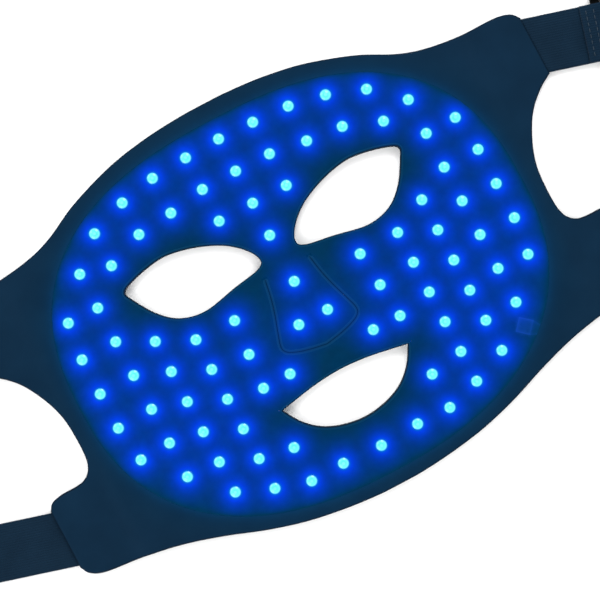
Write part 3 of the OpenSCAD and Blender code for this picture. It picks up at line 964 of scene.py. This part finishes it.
def make_cover(layout):
    """The dark silicone: outer skin, raised rim, lips round the openings, and both wings."""
    silicone = silicone_material()
    plan = cover_plan(layout)
    outer_gap = distance_to(plan.points, layout.outer)
    opening_gap = nearest(plan.points, layout.openings)
    slit_gap = distance_to(plan.points, layout.slit)
    panel_gap = signed_distance(plan.points, layout.panel)
    edge_gap = np.minimum(np.minimum(outer_gap, opening_gap), slit_gap)
    top = cover_top(plan.points[:, 0], outer_gap, opening_gap, slit_gap, panel_gap)
    shell = Shell(plan, rounding(edge_gap, UNDER_ROUND), top)
    fields = cover_fields(plan.points, layout.lamps, outer_gap, opening_gap, slit_gap, panel_gap)
    x = plan.middles[:, 0]
    flap = inside(plan.middles, layout.flap_edge)
    bend_flap(shell.piece("nose_flap_cover", flap, silicone, fields), "cover_nose")
    for side, sign in SIDES.items():
        inner = (x * sign > 0) & (x * sign < OUTER_SPLIT) & ~flap
        obj = shell.piece(f"{side}_cover_inner", inner, silicone, fields)
        bend_sideways(obj, side, SIDE_BEND, "face_panel", f"{side}_side", "cover_centre", f"cover_{side}")
        obj = shell.piece(f"{side}_cover_wing", x * sign > OUTER_SPLIT, silicone, fields)
        bend_sideways(obj, side, EAR_BEND, f"{side}_side", f"{side}_wing", f"{side}_wing")


def liner_plan(layout, outer, openings, slit, hole_radius):
    """The liner's plan, with a round hole and rings of points at every lens."""
    lines = rings_in(outer, RECESS_ROUND, 3)
    for loop in openings:
        lines += rings_out(loop, (RECESS_ROUND * 0.15, RECESS_ROUND * 0.5, RECESS_ROUND))
    lines += rings_out(slit, (SLIT_RECESS_ROUND,))
    for lamp in layout.lamps:
        for radius, count in ((2.9, 26), (3.3, 26), (4.0, 26), (5.0, 30), (6.2, 34)):
            lines.append((ring(lamp, radius * MM, count), True))
    lines += [(moved_in(mark, d), True) for mark in layout.marks for d in (0.25 * MM, 0, -0.25 * MM)]
    lines += cut_lines(layout.flap_edge, (0,))
    lens_holes = [ring(lamp, hole_radius, 26) for lamp in layout.lamps]
    return Plan(outer, openings + [slit] + lens_holes, lines, LINER_STEP)


def make_liner(layout):
    """The lit silicone that fills the cover's recess and shows what presses into it from below."""
    material = liner_material()
    inset, hole_radius = LIP + LINER_GAP, LENS_RADIUS + LENS_GAP
    outer, slit = moved_in(layout.panel, LINER_GAP), moved_in(layout.slit, -inset)
    openings = [moved_in(loop, -inset) for loop in layout.openings]
    plan = liner_plan(layout, outer, openings, slit, hole_radius)
    points = plan.points
    outer_gap, opening_gap = distance_to(points, outer), nearest(points, openings)
    lamp_gap = lamp_distance(points, layout.lamps)
    mark_gaps = [signed_distance(points, mark) for mark in layout.marks]
    raised = [smooth_step(0.5 - gap / (0.5 * MM)) for gap in mark_gaps]
    top = RIM_TOP - rounding(outer_gap, RECESS_ROUND) - rounding(opening_gap, RECESS_ROUND) \
        - rounding(distance_to(points, slit), SLIT_RECESS_ROUND) \
        + LENS_RIM * np.exp(-((lamp_gap - hole_radius) / (0.8 * MM)) ** 2) + BLOCK_RELIEF * sum(raised)
    shell = Shell(plan, np.full(len(points), LINER_LOW), top)

    glow = panel_light(points, layout.lamps, opening_gap + LIP, outer_gap)
    # Painted light: a brighter glow along the outlines of the terminal block and its tail, and a weaker one
    # inside them.
    for gap, fill, strength in zip(mark_gaps, raised, (0.8, 1.0)):
        outline = np.exp(-(gap / (0.3 * MM)) ** 2)
        glow += (strength * (outline + 0.5 * fill))[:, None] * np.array([[0.002, 0.01, 0.09]])
    fields = {"glow": np.concatenate([glow, glow])}
    x = plan.middles[:, 0]
    flap = inside(plan.middles, layout.flap_edge)
    bend_flap(shell.piece("nose_flap_liner", flap, material, fields), "liner_nose")
    for side, sign in SIDES.items():
        obj = shell.piece(f"{side}_liner", (x * sign > 0) & ~flap, material, fields)
        bend_sideways(obj, side, SIDE_BEND, "face_panel", f"{side}_side", "liner_centre", f"liner_{side}")


# ------------ elastic straps

class StrapLine:
    """Centre line of one strap in the plan, measured by the distance x from the mask's centre line."""

    def __init__(self, side, level):
        corners = np.array([v.co[:2] for v in NODES[f"{side}_{level}_strap"].data.vertices])
        x = np.abs(corners[:, 0])
        ends = []
        for chosen in (x < x.min() + SAME_PLACE, x > x.max() - SAME_PLACE):
            end = corners[chosen]
            ends.append((end.min(axis=0) + end.max(axis=0)) / 2)
        self.start = ends[0]
        self.direction = (ends[1] - ends[0]) / np.linalg.norm(ends[1] - ends[0])
        self.across = np.array([-self.direction[1], self.direction[0]])

    def along(self, x):
        """Distance along the strap from its start to where it is x from the centre line."""
        return (x - abs(self.start[0])) / abs(self.direction[0])

    def at(self, along, across=0.0):
        return self.start + self.direction * along + self.across * across


def band_section(width, thickness):
    """Closed section of the elastic as (across, up) points: ribs on both faces, round selvedges."""
    across = np.linspace(-width / 2, width / 2, 4 * STRAP_RIBS + 1)
    selvedge = width / 2 - np.abs(across)
    dips = 0.5 - 0.5 * np.cos(2 * math.pi * STRAP_RIBS * across / width)
    up = thickness / 2 - rounding(selvedge, thickness / 2) - RIB_DEPTH * dips * (selvedge > thickness)
    upper = np.column_stack([across, up])
    lower = np.column_stack([across[-2:0:-1], -up[-2:0:-1]])
    return np.concatenate([upper[::-1], lower[::-1]])


def ribbon(name, line, path, material):
    """A woven band swept along (along, height) points of a strap's centre line."""
    path = np.array(path)
    section = band_section(STRAP_WIDTH, STRAP_THICK - LAYER_GAP)
    behind, ahead = np.roll(path, 1, axis=0), np.roll(path, -1, axis=0)
    behind[0], ahead[-1] = path[0], path[-1]
    tangent = unit(ahead - behind)
    rings, band = [], []
    for (along, height), (t_along, t_up), far in zip(path, tangent, travelled(path) + path[0, 0]):
        rings.append([(*line.at(along - t_up * up, across), height + t_along * up)
                      for across, up in section])
        band += [(far, across, up) for across, up in section]
    corners, faces = [], []
    add_tube(corners, faces, rings)
    mesh = smooth_mesh(name, corners, faces, 60)
    set_vectors(mesh, "band", band)
    return finished(mesh, corners, material)


def level_path(low, high, height):
    count = max(2, round((high - low) / STRAP_STEP))
    return [(low + (high - low) * k / count, height) for k in range(count + 1)]


def bend_strap(obj, line, zone, a, b, *replaced):
    """The band stands for the named nodes, and its place is baked into its mesh; a and b are not used."""
    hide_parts(*replaced)
    start, end = (line.at(line.along(x)) for x in zone)
    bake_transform(obj)


def loop_path(centre, bar_height, height, layer_top):
    """Path of the returned layer's end: under the slider's bar, round it, and back onto itself."""
    radius = bar_height - (height + layer_top) / 2
    path = []
    for k in range(13):
        angle = -math.pi / 2 + k / 12 * math.pi
        path.append((centre + LOOP_REACH + radius * math.cos(angle), bar_height + radius * math.sin(angle)))
    top = path[-1][1]
    resting = layer_top + STRAP_THICK / 2
    leaves, rests = centre - LOOP_DOWN[0], centre - LOOP_DOWN[1]
    for k in range(9):
        t = k / 8
        path.append((leaves + (rests - leaves) * t, top + (resting - top) * float(smooth_step(t))))
    path += [(rests - k * MM, resting) for k in range(1, 9)]
    return path


def make_straps(elastic, thread):
    """Four elastic straps; each right one returns from its slider as a second layer."""
    for side in SIDES:
        for level in ("upper", "lower"):
            line = StrapLine(side, level)
            low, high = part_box(f"{side}_{level}_strap")
            height = (low.z + high.z) / 2
            pocket = line.along(WING_END - POCKET_DEPTH)
            middle = line.along(STRAP_SPLIT)
            back_low, back_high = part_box(f"{side}_{level}_back_strap")
            slant = abs(line.across[0]) * STRAP_WIDTH / 2
            far = line.along(max(abs(back_low.x), abs(back_high.x)) - slant - 0.3 * MM)
            name = f"{side}_{level}"
            front = ribbon(f"{name}_front_elastic", line, level_path(pocket, middle, height), elastic)
            bend_strap(front, line, STRAP_BEND, f"{side}_wing", f"{side}_straps",
                       f"{name}_strap", f"{side}_strap_ends")
            back = ribbon(f"{name}_back_elastic", line, level_path(middle, far, height), elastic)
            bend_strap(back, line, BACK_BEND, f"{side}_straps", f"{side}_closure", f"{name}_back_strap")
    for level in ("upper", "lower"):
        make_return(level, elastic, thread)


def make_return(level, elastic, thread):
    """The layer that comes back from the right wing, loops over the slider's bar and is sewn to itself."""
    line = StrapLine("right", level)
    low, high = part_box(f"right_{level}_return")
    height = (low.z + high.z) / 2
    slider_low, slider_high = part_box(f"{level}_slider")
    slider_x = (slider_low.x + slider_high.x) / 2
    centre, bar_height = line.along(slider_x), slider_high.z - SLIDER_BAR / 2
    pocket, split = line.along(WING_END - POCKET_DEPTH), line.along(RETURN_SPLIT)
    node = f"right_{level}_return"
    inner = ribbon(f"{node}_elastic", line, level_path(pocket, split, height), elastic)
    bend_strap(inner, line, STRAP_BEND, "right_wing", "right_straps", node)
    outer = ribbon(f"{node}_run", line, level_path(split, centre, height), elastic)
    bend_strap(outer, line, (RETURN_SPLIT, slider_x - MM), "right_straps", f"{level}_slider", node)
    loop = ribbon(f"right_{level}_slider_loop", line,
                  level_path(centre, centre + LOOP_REACH, height)[:-1]
                  + loop_path(centre, bar_height, height, high.z), elastic)
    carry(loop, f"{level}_slider", node)
    rows = []
    for back in LOOP_ROWS:
        rows.append([(*line.at(centre - back, across), high.z + STRAP_THICK)
                     for across in np.arange(-0.42, 0.43, 0.01) * STRAP_WIDTH])
    carry(stitches(f"{level}_slider_stitching", rows, thread), f"{level}_slider")


def travelled(path):
    """Distance along a path at each of its points."""
    return np.concatenate([[0], np.cumsum(np.linalg.norm(np.diff(path, axis=0), axis=1))])


def stitches(name, rows, material):
    """Short raised threads along lines of (x, y, z) points."""
    corners, faces = [], []
    for row in rows:
        row = np.array(row)
        reach = travelled(row)
        count = max(1, int(reach[-1] / STITCH_PITCH))
        for k in range(count):
            start = reach[-1] * (k + (1 - STITCH_SHARE) / 2) / count
            places = [start + reach[-1] / count * STITCH_SHARE * t for t in (0, 0.15, 0.5, 0.85, 1)]
            spots = np.column_stack([np.interp(places, reach, row[:, i]) for i in range(3)])
            add_thread(corners, faces, spots)
    return finished(smooth_mesh(name, corners, faces), corners, material)


def add_thread(corners, faces, spots):
    """One stitch: a thread that rises out of the cloth and dips back into it."""
    direction = (spots[-1] - spots[0]) / np.linalg.norm(spots[-1] - spots[0])
    across = np.array([-direction[1], direction[0], 0])
    rings = []
    for spot, girth, lift in zip(spots, (0.3, 0.8, 1, 0.8, 0.3), (-1, 0.2, 0.6, 0.2, -1)):
        rings.append([tuple(spot + across * x + np.array([0, 0, THREAD * lift + y]))
                      for x, y in ring((0, 0), THREAD * girth, 6)])
    add_tube(corners, faces, rings)


# ------------ closure tabs

def no_relief(points, gap):
    return np.zeros(len(points))


def padded_shell(name, outline, low, high, edge_round, step, material,
                 relief=no_relief, under_relief=no_relief):
    """A flat fabric piece with round edges; the reliefs are what its top and its underside rise by."""
    loop = refine(outline)
    distances = (0.2, 0.5, 0.9, 1.3, 1.6, 1.9, 2.3)
    plan = Plan(loop, [], [(moved_in(loop, d * MM), True) for d in distances], step, step)
    gap = distance_to(plan.points, loop)
    top = high - rounding(gap, edge_round) + relief(plan.points, gap)
    bottom = low + rounding(gap, edge_round) + under_relief(plan.points, gap)
    everything = np.ones(len(plan.triangles), bool)
    return Shell(plan, bottom, top).piece(name, everything, material)


def seam_relief(points, gap):
    """A sewn groove near the edge."""
    return -SEAM_DEPTH * np.exp(-((gap - SEAM_INSET) / (0.45 * MM)) ** 2)


def fuzz_relief(points, gap):
    """The uneven pile of loop tape."""
    x, y = points.T / MM
    waves = np.sin(x * 2.1 + np.sin(y * 1.7)) * np.sin(y * 2.6 + 1.3 * np.sin(x * 1.1))
    return PILE_DEPTH * waves * np.clip(gap / MM, 0, 1)


def strap_box(line, tab_start, z):
    """A box with a cross, sewn where a strap meets its tab."""
    half = STRAP_WIDTH / 2 - SEWN_BOX_INSET
    a, b = (line.along(tab_start + reach) for reach in SEWN_BOX)
    corners = [(a, -half), (a, half), (b, half), (b, -half)]
    spots = [(*line.at(along, across), z) for along, across in corners]
    return [dense([*spots, spots[0]]), dense([spots[0], spots[2]]), dense([spots[1], spots[3]])]


def dense(spots):
    """More points on straight runs, half a millimetre apart."""
    points = []
    for a, b in zip(spots, spots[1:]):
        count = max(2, int(math.dist(a, b) / (0.5 * MM)))
        points += [tuple(np.array(a) + (np.array(b) - np.array(a)) * k / count) for k in range(count)]
    return points + [spots[-1]]


def hook_field(outline, low, high, material):
    """Rows of small mushroom hooks on a thin backing."""
    loop = refine(outline)
    corners, faces = [], []
    profile = [(0.32, 0.0), (0.2, 0.35), (0.2, 0.7), (0.45, 0.82), (0.3, 1.0)]
    (x_low, y_low), (x_high, y_high) = loop.min(axis=0), loop.max(axis=0)
    xs = np.arange(x_low + HOOK_PITCH, x_high, HOOK_PITCH)
    ys = np.arange(y_low + HOOK_PITCH, y_high, HOOK_PITCH)
    spots = np.array([(x + (j % 2) * HOOK_PITCH / 2, y) for x in xs for j, y in enumerate(ys)])
    keep = inside(spots, loop) & (distance_to(spots, loop) > 0.9 * MM)
    for spot in spots[keep]:
        add_tube(corners, faces, [[(x, y, low + (high - low) * share) for x, y in ring(spot, radius * MM, 6)]
                                  for radius, share in profile])
    return finished(smooth_mesh("hooks", corners, faces, 50), corners, material)


def make_closure(thread):
    """Two fabric tabs with sewn edges, hook tape on the left one and loop tape under the right one."""
    fabric = tab_material()
    hook = tape_material("hook_tape", (0.003, 0.004, 0.006), (0.012, 0.015, 0.019), 0.5 * MM)
    pile = tape_material("loop_tape", (0.004, 0.006, 0.009), (0.014, 0.019, 0.025), 0.35 * MM)
    for side in SIDES:
        node = f"{side}_closure_tab"
        low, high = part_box(node)
        outline = flat_loops(node, high.z)[0]
        tab = padded_shell(f"{side}_tab", outline, low.z, high.z, 0.5 * MM, 2.2 * MM,
                           fabric, seam_relief)
        carry(tab, f"{side}_closure", node)
        inner = min(abs(low.x), abs(high.x))
        seam = moved_in(refine(outline, FINE_EDGE_STEP), SEAM_INSET)
        rows = [[(*p, high.z - 0.1 * MM) for p in (*seam, seam[0])]]
        carry(stitches(f"{side}_tab_edge_stitching", rows, thread), f"{side}_closure")
        boxes = []
        for level in ("upper", "lower"):
            line = StrapLine(side, level)
            boxes += strap_box(line, inner, high.z)
        carry(stitches(f"{side}_tab_box_stitching", boxes, thread), f"{side}_closure")
    low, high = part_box("hook_pad")
    outline = flat_loops("hook_pad", high.z)[0]
    backing = padded_shell("hook_backing", outline, low.z, low.z + HOOK_BACKING, 0.2 * MM, 3 * MM,
                           hook)
    carry(backing, "left_closure", "hook_pad")
    carry(hook_field(outline, low.z + HOOK_BACKING - 0.05 * MM, high.z, hook), "left_closure")
    low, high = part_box("loop_pad")
    loops = padded_shell("loop_pile", flat_loops("loop_pad", low.z)[0], low.z, high.z, 0.3 * MM, 0.9 * MM,
                         pile, under_relief=fuzz_relief)
    carry(loops, "right_closure", "loop_pad")


# ------------ carried-over CAD nodes

def paint(material, *names):
    for name in names:
        for slot in NODES[name].material_slots:
            slot.link = "OBJECT"
            slot.material = material


def soften_sliders():
    """Rounds the sliders' moulded edges."""
    black = plastic_material("slider_plastic", (0.002, 0.003, 0.004), (0.005, 0.007, 0.009), 0.42)
    for level in ("upper", "lower"):
        slider = NODES[f"{level}_slider"]
        paint(black, f"{level}_slider")
        weld = slider.modifiers.new("weld", "WELD")
        weld.merge_threshold = 0.002 * MM
        bevel = slider.modifiers.new("bevel", "BEVEL")
        bevel.width = 0.3 * MM
        bevel.segments = 3
        bevel.limit_method = "ANGLE"
        bevel.angle_limit = math.radians(40)
        bevel.harden_normals = True


def paint_cad_nodes():
    parts = ("centre", "nose", "left", "right")
    paint(lens_material(), *[f"lenses_{part}" for part in parts])
    paint(board_material(), *[f"board_{part}" for part in parts])
    paint(film_material(), *[f"film_{part}" for part in parts])
    paint(chip_material(), *[f"chips_{part}" for part in parts])
    paint(resistor_material(), "resistors_centre", "resistors_left", "resistors_right")
    paint(plastic_material("gland_plastic", (0.006, 0.008, 0.011), (0.012, 0.015, 0.019), 0.55), "cord_gland")
    paint(plastic_material("block_plastic", (0.04, 0.043, 0.047), (0.06, 0.064, 0.07), 0.5), "terminal_block")


# ------------ main

make_camera()
make_lights()
make_floor()
layout = Layout()
make_cover(layout)
make_liner(layout)
elastic, thread = elastic_material(), thread_material()
make_straps(elastic, thread)
make_closure(thread)
soften_sliders()
paint_cad_nodes()
